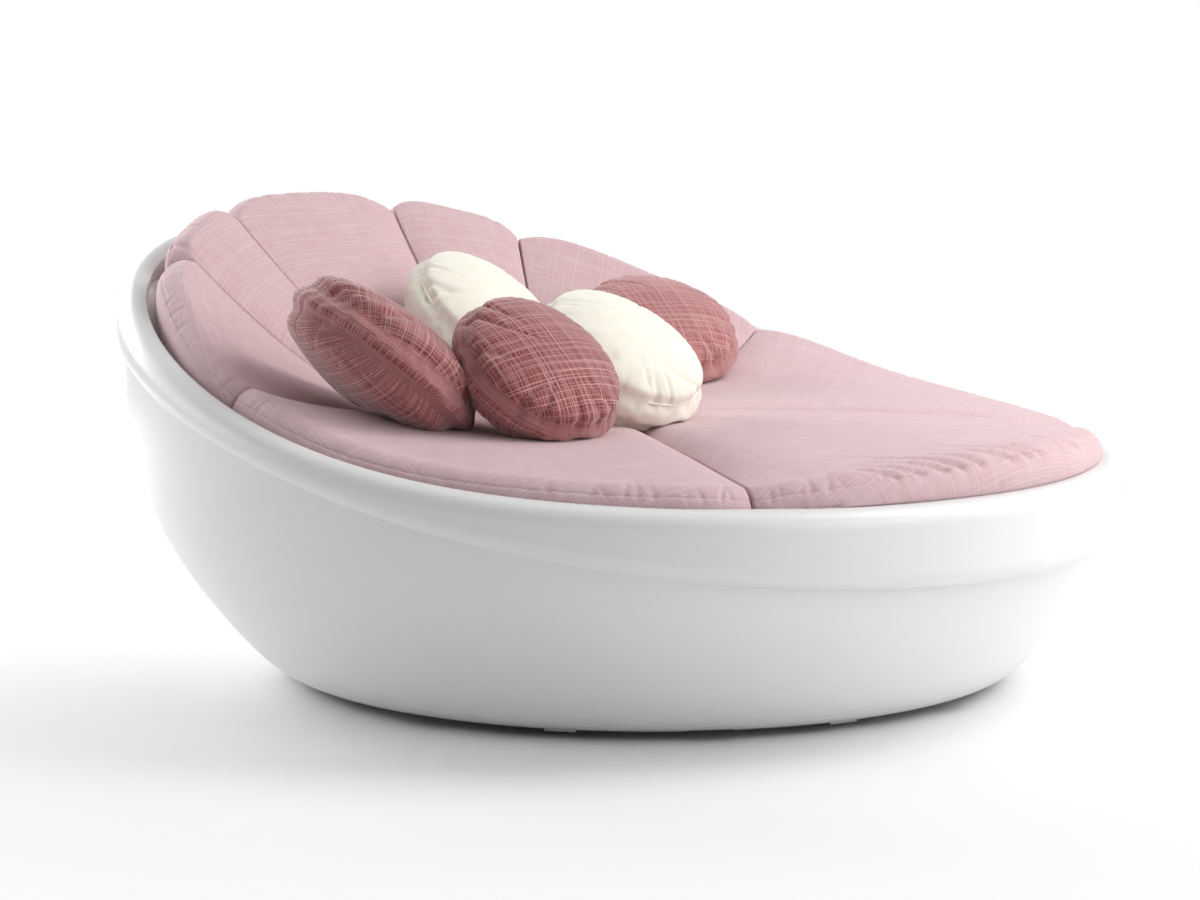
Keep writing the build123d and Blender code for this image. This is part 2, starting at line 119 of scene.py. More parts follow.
PILLOW_PULLS = {
    "pillow_red_left": (
        (116.0, 1.2, 0.05, 0.007, 0.006),
        (124.0, 1.2, 0.05, 0.008, 0.006),
        (148.0, 0.8, 0.07, 0.012, 0.009),
        (-140.0, -0.8, 0.05, 0.008, 0.006),
        (-150.0, -0.8, 0.05, 0.008, 0.006),
    ),
    "pillow_red_centre": (
        (115.0, 0.2, 0.06, 0.009, 0.008),
        (133.0, 0.4, 0.10, 0.010, 0.008),
        (168.0, 0.9, 0.06, 0.010, 0.006),
        (-145.0, 0.3, 0.05, 0.010, 0.008),
        (-128.0, 0.0, 0.05, 0.008, 0.007),
        (-100.0, -0.1, 0.05, 0.008, 0.007),
        (-80.0, -0.2, 0.05, 0.008, 0.006),
        (-64.0, -0.4, 0.06, 0.008, 0.005),
    ),
    "pillow_white_right": (
        (126.0, -0.6, 0.07, 0.008, 0.006),
        (-62.0, -1.5, 0.06, 0.008, 0.005),
        (-99.0, 0.0, 0.04, 0.008, 0.005),
        (-111.0, 0.0, 0.04, 0.009, 0.006),
    ),
    "pillow_white_back": (
        (161.0, 0.2, 0.07, 0.012, 0.010),
        (150.0, 1.0, 0.05, 0.010, 0.006),
        (128.0, 0.4, 0.05, 0.009, 0.006),
    ),
    "pillow_rose_right": (
        (128.0, -0.8, 0.08, 0.008, 0.006),
        (-8.0, -1.0, 0.07, 0.008, 0.006),
        (-38.0, -1.2, 0.05, 0.008, 0.006),
        (-66.0, 0.0, 0.06, 0.011, 0.008),
        (-78.0, 0.5, 0.04, 0.008, 0.005),
    ),
}

# Steps of the rolled outer edge of a pad, from its top to its side face, and the step of its sewn seam
ROLL_TURNS = (80, 70, 60, 50, 42, 40, 38, 30, 20, 10, 0)
EDGE_SEAM_TURN = 40
# Least and greatest reach of the rolled edge, over its radius
ROLL_LIMITS = (0.6, 1.5)
SIDE_STEPS = 5
# How far the walls of a pad's seam faces are sunk, as shares of the way to the core
WALL_DEPTHS = (0.3, 0.75)
# Depth of the core inside the rolled edge, over the edge's radius
CORE_DEPTH = 0.3
# Rows of the top that join one step of the underside in a pad's end walls
ROWS_PER_STEP = 4
# Usual length of a pad from tip to edge, and of its outer edge over its turn
PAD_LENGTH = 0.94
EDGE_LENGTH = 0.97
LEAST_COLUMNS = 24
SEAM_CROWDING = 0.45
SEAM_CLEARANCE = 0.0015
UNDERSIDE_CLEARANCE = 0.004
EDGE_START = 0.5
EDGE_STEP = 0.004
SIDE_DRAW_IN = 0.006
# Turn of the threads against the middle line of a pad
THREAD_TURNS = {"pad_side_right": 45.0, "pad_side_left": 45.0}

# Steps of a pillow's face from its middle to the seam, and the points round it
FACE_STEPS = 16
SPOKES = 96
# Powers that shape the swell of a pillow's face
SWELL_POWERS = (2.4, 0.6)
# A solid nearer than this share of the plain form was cut by its neighbour
CUT_SHARE = 0.955
# Distance on the cloth between the cuts of the two faces
FACE_DISTANCE = 3.0

# Pale threads that stand out of the weave: the way they are spaced, their pitch and their unbroken length
SLUB_THREADS = (("X", 0.0020, 0.15), ("Y", 0.0021, 0.18), ("X", 0.0031, 0.25), ("Y", 0.0034, 0.21))
# Shift in pitches that keeps the breaks of the four sets of threads apart
BREAK_SHIFT = 900

COVER_STIFFNESS = {
    "quality": 5,
    "mass": 0.3,
    "tension_stiffness": 12,
    "compression_stiffness": 12,
    "shear_stiffness": 4,
    "bending_stiffness": 0.4,
    "pin_stiffness": 1.0,
}
STUFFING_FRAMES = 22


def sized(name, description, default, subtype="DISTANCE"):
    """A length, angle or share that a user can set."""
    unit = {"DISTANCE": "LENGTH", "ANGLE": "ROTATION"}.get(subtype, "NONE")
    return FloatProperty(
        name=name, description=description, default=default, subtype=subtype, unit=unit, precision=4
    )


def coloured(name, description, default):
    """A colour written as sRGB hex."""
    return StringProperty(name=name, description=description, default=default)


class PadSettings(PropertyGroup):
    meeting_y: sized("Meeting point", "Y of the point where the wedges meet", 0.069)
    tip_radius: sized("Tip radius", "Distance from the meeting point to a wedge's tip", 0.034)
    column_spacing: sized("Column spacing", "Mesh spacing along the outer edge", 0.009)
    row_spacing: sized("Row spacing", "Mesh spacing from tip to edge", 0.013)
    roll_radius: sized("Edge roll", "Radius over which the top turns down at the outer edge", 0.056)
    seam_inset: sized("Edge seam inset", "Depth that the sewn edge seam pulls in", 0.003)
    pressure: sized("Fill pressure", "Pressure of the filling on the cover", 3.0, "NONE")
    slack: sized("Cover slack", "Share by which the cover is cut too large", 0.035, "FACTOR")
    travel: sized("Greatest puff", "How far filling may push the cover", 0.013)
    gather_spacing: sized("Gather spacing", "Usual distance between gathers at the outer seam", 0.026)
    gather_depth: sized("Gather depth", "Depth of the strongest gathers", 0.0035)
    colour: coloured("Pad colour", "Dusty pink of the yarn", "#D2B5B8")
    slub_colour: coloured("Pad slub colour", "Pale thick threads", "#F2E0E0")
    shade_colour: coloured("Pad shade colour", "Deeper threads", "#C8A3A7")


class PillowSettings(PropertyGroup):
    boxing: sized("Boxing", "Width of the band between the two faces", 0.056)
    seam_share: sized("Seam share", "Seam radius over the pillow's radius", 0.93, "FACTOR")
    seam_inset: sized("Seam inset", "Depth that the sewn seam pulls in", 0.003)
    piping_radius: sized("Piping radius", "Radius of the corded edge on the white pillows", 0.0028)
    pressure: sized("Fill pressure", "Pressure of the filling on the cover", 3.0, "NONE")
    slack: sized("Cover slack", "Share by which the cover is cut too large", 0.06, "FACTOR")
    travel: sized("Greatest puff", "How far filling may push the cover", 0.016)
    gather_spacing: sized("Gather spacing", "Usual distance between gathers at a seam", 0.022)
    gather_depth: sized("Gather depth", "Depth of the strongest gathers", 0.0028)
    red: coloured("Red", "Deep red yarn", "#8C4143")
    red_slub: coloured("Red slub", "Pale threads of the red fabric", "#E3B5B2")
    red_shade: coloured("Red shade", "Deepest threads of the red fabric", "#7A2A2E")
    rose: coloured("Rose", "Rose red yarn", "#B07173")
    rose_slub: coloured("Rose slub", "Pale threads of the rose fabric", "#E3BDB8")
    rose_shade: coloured("Rose shade", "Deepest threads of the rose fabric", "#94484B")
    white: coloured("White", "Off-white yarn", "#F4F1E6")
    white_slub: coloured("White slub", "Brightest threads of the white fabric", "#FFFFFA")
    white_shade: coloured("White shade", "Cream threads of the white fabric", "#E9E4D2")


class ShellSettings(PropertyGroup):
    colour: coloured("Shell colour", "White of the moulded shell", "#E8E8E8")
    roughness: sized("Shell roughness", "Micro roughness of the moulded skin", 0.34, "FACTOR")
    drift: sized("Gloss drift", "Width of the slow change of gloss that moulding leaves", 0.25)
    grain: sized("Mould grain", "Width of the fine grain of the moulded skin", 0.0012)
    edge_round: sized("Edge round", "Small radius that moulding leaves on every edge", 0.004)


class HardwareSettings(PropertyGroup):
    zinc: coloured("Zinc", "Zinc plating", "#A9ABAD")
    bracket: coloured("Bracket", "White powder coat", "#E4E4E2")
    tyre: coloured("Tyre", "Black rubber", "#1B1B1C")
    column: coloured("Column", "Grey moulded plastic", "#B8B8B8")
    drain: coloured("Drain", "Grey moulded plastic", "#77787A")


class StageSettings(PropertyGroup):
    lens: sized("Lens", "Focal length on a 36 mm wide sensor, in millimetres", 93.4, "NONE")
    camera_place: FloatVectorProperty(
        name="Camera place",
        description="Where the camera stands",
        default=(-5.291, -3.886, 1.247),
        subtype="XYZ",
        unit="LENGTH",
    )
    camera_aim: FloatVectorProperty(
        name="Camera aim",
        description="Direction in which the camera looks",
        default=(0.7964, 0.5930, -0.1189),
        subtype="XYZ",
    )
    ambient: sized("Ambient", "Strength of the even light from all round", 0.24, "NONE")
    floor_size: sized("Floor size", "Side of the square floor", 60.0)
    floor_colour: coloured("Floor colour", "Pale studio floor", "#F3F3F3")


class DayBedSettings(PropertyGroup):
    shell: PointerProperty(type=ShellSettings)
    pads: PointerProperty(type=PadSettings)
    pillows: PointerProperty(type=PillowSettings)
    hardware: PointerProperty(type=HardwareSettings)
    stage: PointerProperty(type=StageSettings)


def settings():
    return bpy.context.scene.day_bed


def linear(text):
    """Linear colour of an sRGB hex value such as #D9A3A6."""
    channels = []
    for start in (1, 3, 5):
        value = int(text[start:start + 2], 16) / 255
        channels.append(value / 12.92 if value <= 0.04045 else ((value + 0.055) / 1.055) ** 2.4)
    return (*channels, 1.0)


def add_node(material, kind, inputs=None, **options):
    """Add a shader node with its settings; an input is a plain value or the socket that feeds it."""
    node = material.node_tree.nodes.new(kind)
    for name, value in options.items():
        setattr(node, name, value)
    for name, value in (inputs or {}).items():
        if isinstance(value, bpy.types.NodeSocket):
            material.node_tree.links.new(value, node.inputs[name])
        else:
            node.inputs[name].default_value = value
    return node


def new_material(name):
    """An empty node material with only its output, and that output node."""
    material = bpy.data.materials.new(name)
    material.use_nodes = True
    material.node_tree.nodes.clear()
    return material, material.node_tree.nodes.new("ShaderNodeOutputMaterial")


def finish_material(material, output, shader):
    material.node_tree.links.new(shader.outputs["BSDF"], output.inputs["Surface"])
    return material


def colour_socket(node, name):
    """The colour input of a mix node, whose inputs share one name for every data type."""
    return next(socket for socket in node.inputs if socket.name == name and socket.type == "RGBA")


def broken_threads(material, place, across, pitch, length):
    """Thin straight lines beside each other, each broken here and there."""
    parts = add_node(material, "ShaderNodeSeparateXYZ", {"Vector": place})
    threads = add_node(
        material,
        "ShaderNodeTexNoise",
        {"W": parts.outputs[across], "Scale": 1 / pitch, "Detail": 0.0},
        noise_dimensions="1D",
    )
    narrow, long = 1 / (2 * pitch), 1 / length
    stretched = add_node(
        material,
        "ShaderNodeMapping",
        {
            "Vector": place,
            "Location": (pitch * BREAK_SHIFT, 0.0, 0.0),
            "Scale": (narrow, long, 1.0) if across == "X" else (long, narrow, 1.0),
        },
    )
    breaks = add_node(
        material,
        "ShaderNodeTexNoise",
        {"Vector": stretched.outputs["Vector"], "Scale": 1.0, "Detail": 1.0},
        noise_dimensions="2D",
    )
    thread = add_node(
        material,
        "ShaderNodeMapRange",
        {"Value": threads.outputs["Fac"], "From Min": 0.54, "From Max": 0.70},
    )
    piece = add_node(
        material,
        "ShaderNodeMapRange",
        {"Value": breaks.outputs["Fac"], "From Min": 0.30, "From Max": 0.58},
    )
    line = {0: thread.outputs["Result"], 1: piece.outputs["Result"]}
    return add_node(material, "ShaderNodeMath", line, operation="MULTIPLY").outputs["Value"]


def woven_slub(name, ground, slub, shade, sheen, strength):
    """Outdoor acrylic, plain woven from yarn with thick and thin places.

    The slubs show as straight broken pale lines both ways along the threads, over a fine matt weave.
    The threads are about 1 mm apart, too fine to show here, so the weave's bump is drawn at 2 mm.
    """
    material, output = new_material(name)
    place = add_node(material, "ShaderNodeUVMap", uv_map="cloth").outputs["UV"]
    crossing, *lines = [broken_threads(material, place, *threads) for threads in SLUB_THREADS]
    for line in lines:
        both = {0: crossing, 1: line}
        crossing = add_node(material, "ShaderNodeMath", both, operation="MAXIMUM").outputs["Value"]
    patches = add_node(
        material,
        "ShaderNodeTexNoise",
        {"Vector": place, "Scale": 22.0, "Detail": 3.0, "Roughness": 0.6},
        noise_dimensions="2D",
    )
    tinted = add_node(material, "ShaderNodeMix", {"Factor": patches.outputs["Fac"]}, data_type="RGBA")
    colour_socket(tinted, "A").default_value = linear(ground)
    colour_socket(tinted, "B").default_value = linear(shade)
    shown = add_node(material, "ShaderNodeMath", {0: crossing, 1: strength}, operation="MULTIPLY")
    yarn = add_node(material, "ShaderNodeMix", {"Factor": shown.outputs["Value"]}, data_type="RGBA")
    material.node_tree.links.new(tinted.outputs[2], colour_socket(yarn, "A"))
    colour_socket(yarn, "B").default_value = linear(slub)
    weave = add_node(
        material,
        "ShaderNodeTexNoise",
        {"Vector": place, "Scale": 500.0, "Detail": 1.0},
        noise_dimensions="2D",
    )
    height = add_node(material, "ShaderNodeMath", {0: crossing, 1: weave.outputs["Fac"]}, operation="ADD")
    bump = add_node(
        material,
        "ShaderNodeBump",
        {"Strength": 0.35, "Distance": 0.0006, "Height": height.outputs["Value"]},
    )
    shader = add_node(
        material,
        "ShaderNodeBsdfPrincipled",
        {
            "Base Color": yarn.outputs[2],
            "Roughness": 0.9,
            "Specular IOR Level": 0.25,
            "Sheen Weight": sheen,
            "Sheen Roughness": 0.45,
            "Normal": bump.outputs["Normal"],
        },
    )
    return finish_material(material, output, shader)


def moulded_shell(values):
    """Rotationally moulded polyethylene: white satin whose gloss drifts slowly, with a fine skin."""
    material, output = new_material("moulded_polyethylene")
    place = add_node(material, "ShaderNodeTexCoord").outputs["Object"]
    drift = add_node(
        material,
        "ShaderNodeTexNoise",
        {"Vector": place, "Scale": 1 / values.drift, "Detail": 1.0},
    )
    grain = add_node(
        material,
        "ShaderNodeTexNoise",
        {"Vector": place, "Scale": 1 / values.grain, "Detail": 2.0},
    )
    edges = add_node(material, "ShaderNodeBevel", {"Radius": values.edge_round}, samples=6)
    skin = add_node(
        material,
        "ShaderNodeBump",
        {
            "Strength": 0.08,
            "Distance": 0.0003,
            "Height": grain.outputs["Fac"],
            "Normal": edges.outputs["Normal"],
        },
    )
    gloss = add_node(
        material,
        "ShaderNodeMapRange",
        {
            "Value": drift.outputs["Fac"],
            "To Min": values.roughness - 0.05,
            "To Max": values.roughness + 0.05,
        },
    )
    shader = add_node(
        material,
        "ShaderNodeBsdfPrincipled",
        {
            "Base Color": linear(values.colour),
            "Roughness": gloss.outputs["Result"],
            "IOR": 1.5,
            "Normal": skin.outputs["Normal"],
        },
    )
    return finish_material(material, output, shader)


def plain_finish(name, colour, roughness, metallic, grain, depth):
    """A hard finish whose tone and gloss vary with a grain of a given width."""
    material, output = new_material(name)
    place = add_node(material, "ShaderNodeTexCoord").outputs["Object"]
    noise = add_node(
        material,
        "ShaderNodeTexNoise",
        {"Vector": place, "Scale": 1 / grain, "Detail": 3.0, "Roughness": 0.6},
    )
    gloss = add_node(
        material,
        "ShaderNodeMapRange",
        {"Value": noise.outputs["Fac"], "To Min": roughness * 0.8, "To Max": roughness * 1.2},
    )
    bump = add_node(
        material,
        "ShaderNodeBump",
        {"Strength": 0.4, "Distance": depth, "Height": noise.outputs["Fac"]},
    )
    shader = add_node(
        material,
        "ShaderNodeBsdfPrincipled",
        {
            "Base Color": linear(colour),
            "Metallic": metallic,
            "Roughness": gloss.outputs["Result"],
            "Normal": bump.outputs["Normal"],
        },
    )
    return finish_material(material, output, shader)


def dress_nodes(material, *names):
    """Give CAD nodes a material."""
    for name in names:
        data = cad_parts[name].data
        data.materials.clear()
        data.materials.append(material)


def nodes_named(start):
    return [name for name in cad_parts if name.startswith(start)]


class SolidProbe:
    """Rays onto one CAD solid."""

    def __init__(self, node):
        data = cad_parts[node].data
        self.points = [vertex.co.copy() for vertex in data.vertices]
        self.tree = BVHTree.FromPolygons(self.points, [tuple(face.vertices) for face in data.polygons])

    def hit(self, start, direction):
        return self.tree.ray_cast(Vector(start), Vector(direction))[0]

    def height(self, x, y, up):
        """Height of the top (up) or of the underside at a place in plan."""
        start = 3.0 if up else -1.0
        found = self.hit((x, y, start), (0.0, 0.0, -1.0 if up else 1.0))
        return None if found is None else found.z


def wrapped(angle):
    return (angle + math.pi) % (2 * math.pi) - math.pi


def spaced(count, crowding):
    """Shares from 0 to 1 that crowd together at both ends."""
    steps = np.linspace(0.0, 1.0, count + 1)
    return steps - crowding * np.sin(2 * np.pi * steps) / (2 * np.pi)


def filled(levels):
    """The levels, with each missing one taken from the nearest that was found."""
    known = [index for index, level in enumerate(levels) if level is not None]
    return [levels[min(known, key=lambda place: abs(place - index))] for index in range(len(levels))]


class WedgeForm:
    """A wedge pad as columns of points, each a closed loop in an upright radial plane."""

    def __init__(self, node, values):
        self.values = values
        self.probe = SolidProbe(node)
        centre = sum(self.probe.points, Vector()) / len(self.probe.points)
        self.middle = math.atan2(centre.x, centre.y - values.meeting_y)
        far = [
            wrapped(math.atan2(point.x, point.y - values.meeting_y) - self.middle)
            for point in self.probe.points
            if math.hypot(point.x, point.y - values.meeting_y) > 10 * values.tip_radius
        ]
        self.low, self.high = min(far), max(far)

    def place(self, share, run):
        """Plan place on a spoke, kept a little inside the two seam faces."""
        margin = SEAM_CLEARANCE / run
        angle = self.low + (self.high - self.low) * share
        angle = min(max(angle, self.low + margin), self.high - margin) + self.middle
        return math.sin(angle) * run, self.values.meeting_y + math.cos(angle) * run

    def level(self, share, run, up):
        return self.probe.height(*self.place(share, run), up)

    def edge(self, share):
        """Distance to the outer face."""
        run = EDGE_START
        while self.level(share, run + EDGE_STEP, True) is not None:
            run += EDGE_STEP
        return run + EDGE_STEP / 2

    def column(self, share, rows):
        """One loop: top from tip to shoulder, rolled edge, side face, then the underside back."""
        values = self.values
        reach = self.edge(share)
        roll = values.roll_radius
        inner = reach - roll
        runs = np.linspace(values.tip_radius, inner, rows + 1)
        points = list(zip(runs, filled([self.level(share, run, True) for run in runs])))
        centre = (inner, points[-1][1] - roll)
        for turn in ROLL_TURNS:
            x, y = self.place(share, centre[0])
            angle = math.radians(turn)
            out_x, out_y = self.place(share, centre[0] + 1.0)
            direction = ((out_x - x) * math.cos(angle), (out_y - y) * math.cos(angle), math.sin(angle))
            found = self.probe.hit((x, y, centre[1]), direction)
            distance = roll if found is None else (found - Vector((x, y, centre[1]))).length
            distance = min(max(distance, roll * ROLL_LIMITS[0]), roll * ROLL_LIMITS[1])
            points.append((centre[0] + distance * math.cos(angle), centre[1] + distance * math.sin(angle)))
        side_run, side_z = points[-1]
        low = self.level(share, side_run - SIDE_DRAW_IN, False)
        if low is None:
            low = side_z - roll
        for part in np.linspace(0.0, 1.0, SIDE_STEPS + 1)[1:]:
            points.append((side_run - SIDE_DRAW_IN * part**4, side_z + (low - side_z) * part))
        runs = np.linspace(side_run - 2 * SIDE_DRAW_IN, values.tip_radius, rows // ROWS_PER_STEP + 1)
        under = list(zip(runs, filled([self.level(share, run, False) for run in runs])))
        return points, under


def under_level(under, run):
    """Height of the underside at a run, from its own few points."""
    runs, heights = zip(*reversed(under))
    return float(np.interp(run, runs, heights))


def loop_points(form, values, rows, depth, loop):
    """One loop of a pad on its solid, or, at a depth, a wall of its seam face sunk towards the core."""
    share, points, under = loop
    seam_row = rows + 1 + ROLL_TURNS.index(EDGE_SEAM_TURN)
    core_run = points[rows][0] - values.roll_radius * CORE_DEPTH
    core_z = under[1][1] + UNDERSIDE_CLEARANCE
    placed = []
    for index, (run, height) in enumerate(points):
        place = [run, height]
        if index == seam_row:
            direction = Vector((core_run - run, core_z - height)).normalized()
            place[0] += direction.x * values.seam_inset
            place[1] += direction.y * values.seam_inset
        if depth > 0:
            core = (core_run, core_z)
            if index <= rows:
                core = (run, under_level(under, run) + UNDERSIDE_CLEARANCE)
            place[0] += (core[0] - place[0]) * depth
            place[1] += (core[1] - place[1]) * depth
        placed.append((*form.place(share, max(place[0], values.tip_radius)), place[1]))
    for run, height in under:
        placed.append((*form.place(share, max(run, values.tip_radius)), height))
    return placed


def loop_cloth(angle, values, points, under):
    """Places of a loop's points on the flat cloth, where its length is laid out along a spoke."""
    developed = 0.0
    previous = points[0]
    flat = []
    for point in points:
        developed += math.dist(previous, point)
        previous = point
        length = developed + values.tip_radius
        flat.append((length * math.sin(angle), length * math.cos(angle)))
    return flat + [flat[-1]] * len(under)


def loop_freedom(rows, top_count, under_count):
    """1 where filling may move a point of a loop, and 0 at its tip, its edge seam and its resting faces."""
    free = [1.0] * top_count + [0.0] * under_count
    free[0] = 0.0
    free[rows + 1 + ROLL_TURNS.index(EDGE_SEAM_TURN)] = 0.0
    for index in range(rows + len(ROLL_TURNS) + 3, top_count):
        free[index] = 0.0
    return free


def pad_faces(loop_count, top_count, under_count, rows):
    """Faces between the loops, and the two closed ends."""
    size = top_count + under_count
    faces = []
    for column in range(loop_count - 1):
        here = column * size
        there = here + size
        for index in range(size):
            following = (index + 1) % size
            faces.append((here + index, there + index, there + following, here + following))
    for column, flip in ((0, False), (loop_count - 1, True)):
        start = column * size
        caps = [tuple(range(start + rows, start + top_count + 1))]
        for group in range(under_count - 1):
            first = start + rows - ROWS_PER_STEP * (group + 1)
            upper = tuple(range(first, first + ROWS_PER_STEP + 1))
            caps.append((*upper, start + top_count + group, start + top_count + group + 1))
        faces += [tuple(reversed(cap)) if flip else cap for cap in caps]
    return faces


def build_pad(node, values):
    """Closed mesh of a wedge pad: its points, faces, cloth and freedom, its middle and its seam line."""
    form = WedgeForm(node, values)
    columns = max(LEAST_COLUMNS, int((form.high - form.low) * EDGE_LENGTH / values.column_spacing))
    rows = ROWS_PER_STEP * int(PAD_LENGTH / values.row_spacing / ROWS_PER_STEP)
    loops = [(share, *form.column(share, rows)) for share in spaced(columns, SEAM_CROWDING)]
    order = [(depth, loops[0]) for depth in reversed(WALL_DEPTHS)]
    order += [(0.0, loop) for loop in loops]
    order += [(depth, loops[-1]) for depth in WALL_DEPTHS]
    top_count, under_count = len(loops[0][1]), len(loops[0][2])
    vertices, cloth, free = [], [], []
    for number, (depth, loop) in enumerate(order):
        share, points, under = loop
        vertices += loop_points(form, values, rows, depth, loop)
        angle = form.low + (form.high - form.low) * share + math.radians(THREAD_TURNS.get(node, 0.0))
        cloth += loop_cloth(angle, values, points, under)
        if min(number, len(order) - 1 - number) <= len(WALL_DEPTHS):
            free += [0.0] * (top_count + under_count)
        else:
            free += loop_freedom(rows, top_count, under_count)
    faces = pad_faces(len(order), top_count, under_count, rows)
    seam_row = rows + 1 + ROLL_TURNS.index(EDGE_SEAM_TURN)
    seam_line = [
        (form.low + (form.high - form.low) * share, *points[seam_row]) for share, points, _under in loops
    ]
    return vertices, faces, cloth, free, form.middle, seam_line


def new_piece(name, vertices, faces, cloth=None):
    """A mesh object with smooth faces, and the flat place of each point on the cloth as its UV."""
    data = bpy.data.meshes.new(name)
    data.from_pydata([tuple(point) for point in vertices], [], faces)
    data.validate()
    data.polygons.foreach_set("use_smooth", [True] * len(data.polygons))
    if cloth is not None:
        layer = data.uv_layers.new(name="cloth")
        flat = np.array(cloth, float)
        corner = np.zeros(len(data.loops), int)
        data.loops.foreach_get("vertex_index", corner)
        layer.data.foreach_set("uv", flat[corner].ravel())
    data.update()
    piece = bpy.data.objects.new(name, data)
    bpy.context.scene.collection.objects.link(piece)
    return piece


def coordinates(data):
    flat = np.zeros(len(data.vertices) * 3)
    data.vertices.foreach_get("co", flat)
    return flat.reshape(-1, 3)


def stuff(piece, free, values):
    """Blow the cover up by cloth simulation, with its seams and its resting faces held."""
    rest = coordinates(piece.data)
    held = piece.vertex_groups.new(name="held")
    for index, share in enumerate(free):
        held.add([index], 1.0 - share, "REPLACE")
    cloth = piece.modifiers.new("cover", "CLOTH")
    for name, value in COVER_STIFFNESS.items():
        setattr(cloth.settings, name, value)
    cloth.settings.use_pressure = True
    cloth.settings.uniform_pressure_force = values.pressure
    cloth.settings.shrink_min = -values.slack
    cloth.settings.vertex_group_mass = "held"
    cloth.settings.effector_weights.gravity = 0.0
    cloth.collision_settings.use_collision = False
    cloth.collision_settings.use_self_collision = False
    cloth.point_cache.frame_start = 1
    cloth.point_cache.frame_end = STUFFING_FRAMES + 2
    scene = bpy.context.scene
    for number in range(1, STUFFING_FRAMES + 1):
        scene.frame_set(number)
    graph = bpy.context.evaluated_depsgraph_get()
    blown = coordinates(piece.evaluated_get(graph).data)
    piece.modifiers.remove(cloth)
    scene.frame_set(1)
    shift = blown - rest
    length = np.linalg.norm(shift, axis=1)
    reach = values.travel * np.tanh(length / values.travel)
    shift *= (reach / np.maximum(length, 1e-9))[:, None]
    piece.data.vertices.foreach_set("co", (rest + shift).ravel())
    piece.data.update()


def refine(piece, levels=1):
    """Apply subdivision, so that the final mesh is the smooth one."""
    smooth = piece.modifiers.new("refine", "SUBSURF")
    smooth.levels = levels
    smooth.render_levels = levels
    graph = bpy.context.evaluated_depsgraph_get()
    finer = bpy.data.meshes.new_from_object(piece.evaluated_get(graph))
    piece.modifiers.remove(smooth)
    piece.data = finer


def press(piece, shift):
    """Move each point in along its normal by its own shift."""
    data = piece.data
    normals = np.zeros(len(data.vertices) * 3)
    data.vertices.foreach_get("normal", normals)
    moved = coordinates(data) - normals.reshape(-1, 3) * shift[:, None]
    data.vertices.foreach_set("co", moved.ravel())
    data.update()


def crease(turn, radius, inward, place, slant, length, width, depth):
    """Depth of one crease that starts at a seam, at a turn about the middle, and leans as it runs in."""
    across = wrapped(turn - place) * radius - slant * np.maximum(inward, 0.0)
    off = across / (width * math.hypot(1.0, slant))
    fade = np.where(inward > 0, np.exp(-((inward / length) ** 2)), np.exp(inward / CREASE_END))
    return depth * fade * np.exp(-(off**2))


def gathers(turn, radius, inward, values, pulls, seed):
    """Short gathers at random along a sewn seam, and the longer pulls that stand out."""
    draws = np.random.default_rng(seed)
    shift = np.zeros(len(turn))
    place = turn.min()
    while place < turn.max():
        slant, length, width, strength = draws.uniform(*GATHER_LIMITS)
        depth = values.gather_depth * strength**1.5
        shift += crease(turn, radius, inward, place, slant, length, width, depth)
        place += values.gather_spacing / radius.mean() * draws.uniform(*GATHER_STEPS)
    for degrees, slant, length, width, depth in pulls:
        shift += crease(turn, radius, inward, math.radians(degrees), slant, length, width, depth)
    return shift


def gather_pad(piece, node, middle, seam_line, values):
    """Gathers beside the sewn edge of a pad; lengths run over the rolled edge."""
    x, y, height = coordinates(piece.data).T
    y = y - values.meeting_y
    turn = wrapped(np.arctan2(x, y) - middle)
    turns, runs, heights = np.array(seam_line).T
    run = np.interp(turn, turns, runs)
    rise = height - np.interp(turn, turns, heights)
    inward = np.copysign(np.hypot(run - np.hypot(x, y), rise), rise)
    press(piece, gathers(turn, run, inward, values, PAD_PULLS.get(node, ()), PAD_NODES.index(node)))


def gather_pillow(piece, name, values):
    """Gathers beside both seams of a pillow."""
    centre, azimuth, elevation, radius, _half_height, _fabric = PILLOWS[name]
    normal, across, up = (np.array(axis) for axis in pillow_axes(azimuth, elevation))
    places = coordinates(piece.data) - np.array(centre)
    u, v, height = places @ across, places @ up, places @ normal
    turn = np.arctan2(v, u)
    seam = np.full(len(turn), radius * values.seam_share)
    shift = np.zeros(len(turn))
    for side in (1, -1):
        rise = side * height - values.boxing / 2
        inward = np.where(rise > 0, seam - np.hypot(u, v), rise)
        pulls = PILLOW_PULLS[name] if side > 0 else ()
        shift += gathers(turn, seam, inward, values, pulls, 20 + side + 3 * list(PILLOWS).index(name))
    press(piece, shift)


class DAYBED_OT_shell(Operator):
    """Finish the moulded bowl and tub"""

    bl_idname = "daybed.shell"
    bl_label = "Finish Shell"

    def execute(self, context):
        dress_nodes(moulded_shell(settings().shell), "lower_bowl", "upper_tub")
        return {"FINISHED"}


